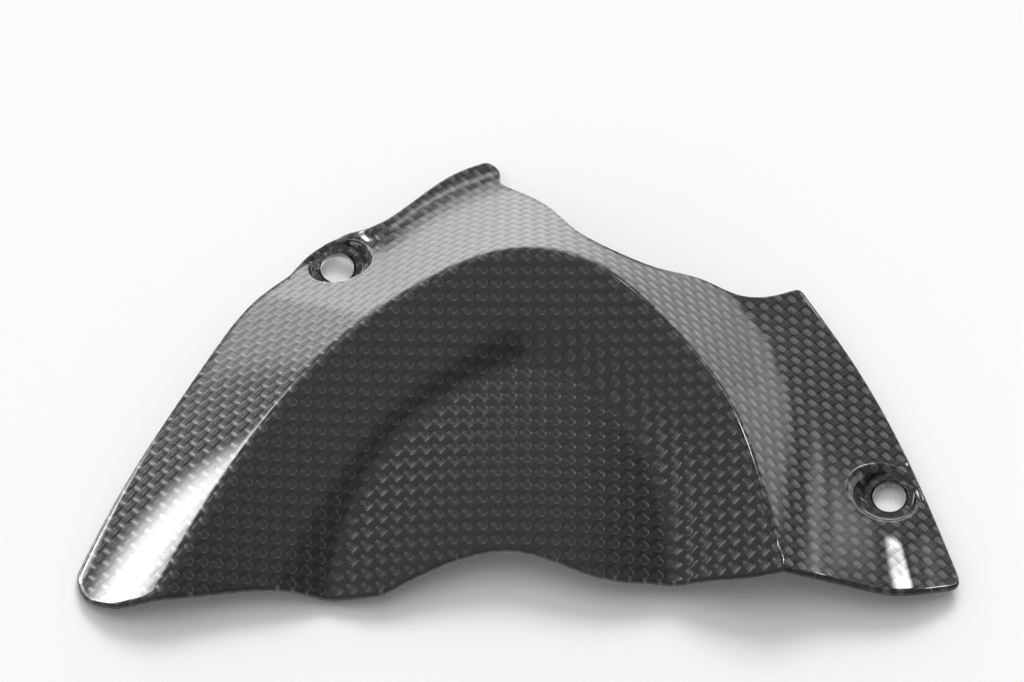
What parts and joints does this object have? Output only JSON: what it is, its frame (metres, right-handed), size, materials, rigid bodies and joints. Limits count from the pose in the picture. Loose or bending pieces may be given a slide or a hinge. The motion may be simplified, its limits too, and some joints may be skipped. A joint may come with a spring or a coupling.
{
  "type": "sprocket cover",
  "caption": "Moulded sheet cover that arches over a motorbike's front sprocket and chain, with a dished face, a flange, a fin and recessed bolt seats.",
  "frame": {"origin": "centre of the front bolt hole, on the mounting plane under its seat", "axes": "+X along the cover towards the rear bolt, +Y away from the open front edge, +Z out of the mounting plane towards the outer face"},
  "size_m": [0.1706, 0.1083, 0.0275],
  "materials": {
    "carbon": "black plain-weave carbon fibre under a gloss clear coat"
  },
  "bodies": {
    "root": {"sprocket_cover": "carbon"}
  },
  "joints": []
}
